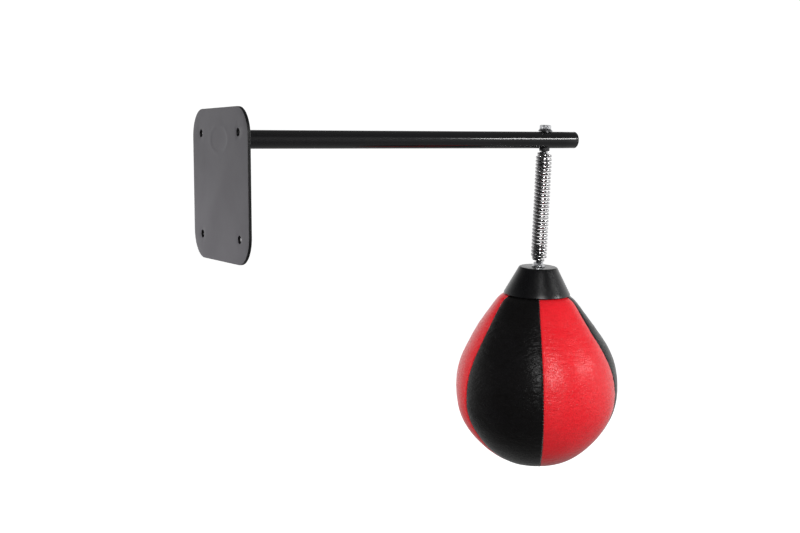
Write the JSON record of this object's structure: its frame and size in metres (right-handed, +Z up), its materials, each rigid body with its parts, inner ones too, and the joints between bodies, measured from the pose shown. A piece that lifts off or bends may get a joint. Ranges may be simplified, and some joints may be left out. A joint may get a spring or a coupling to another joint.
{
  "type": "wall-mounted spring speed bag",
  "caption": "Wall plate with a welded arm tube that carries a teardrop leather punching bag on a coil spring, so the bag sways and springs back.",
  "frame": {"origin": "centre of the wall plate's rear face, which lies on the wall", "axes": "+X along the arm away from the wall, +Z up, +Y completes the right-hand frame"},
  "size_m": [0.6404, 0.2466, 0.5395],
  "materials": {
    "plate_powder_coat": "satin",
    "tube_powder_coat": "semi-gloss",
    "black_plastic": "satin",
    "bright_zinc": "bright",
    "spring_chrome": "polished",
    "red_leather": "semi-gloss",
    "black_leather": "semi-gloss",
    "bladder_rubber": "matte"
  },
  "bodies": {
    "arm": {"wall_plate": "plate_powder_coat", "weld_bead": "tube_powder_coat", "arm_tube": "tube_powder_coat", "tube_end_cap": "black_plastic", "arm_bolt": "bright_zinc", "saddle_washer": "black_plastic", "upper_anchor": "bright_zinc"},
    "spring": {"coil_spring": "spring_chrome"},
    "bag": {"lower_anchor": "bright_zinc", "cap_nut": "bright_zinc", "cap_washer": "bright_zinc", "bag_bolt": "bright_zinc", "cone_cap": "black_plastic", "clamp_plate": "bright_zinc", "panel_red_left": "red_leather", "panel_black_front": "black_leather", "panel_red_front": "red_leather", "panel_black_right": "black_leather", "panel_red_back": "red_leather", "panel_black_back": "black_leather", "bladder": "bladder_rubber", "bladder_valve": "bladder_rubber"}
  },
  "joints": [
    {"name": "sway_sideways", "type": "hinge", "parent": "arm", "child": "spring", "pos_m": [0.516, 0.0045, -0.00233], "axis": [1, 0, 0], "range_deg": [-60, 60], "stiffness_Nm_per_rad": 10, "deforming": ["coil_spring"]},
    {"name": "sway_fore_aft", "type": "hinge", "parent": "spring", "child": "bag", "pos_m": [0.516, 0.01029, -0.08112], "axis": [0, 0.9973, 0.0732], "range_deg": [-60, 60], "stiffness_Nm_per_rad": 10, "deforming": ["coil_spring"]}
  ]
}
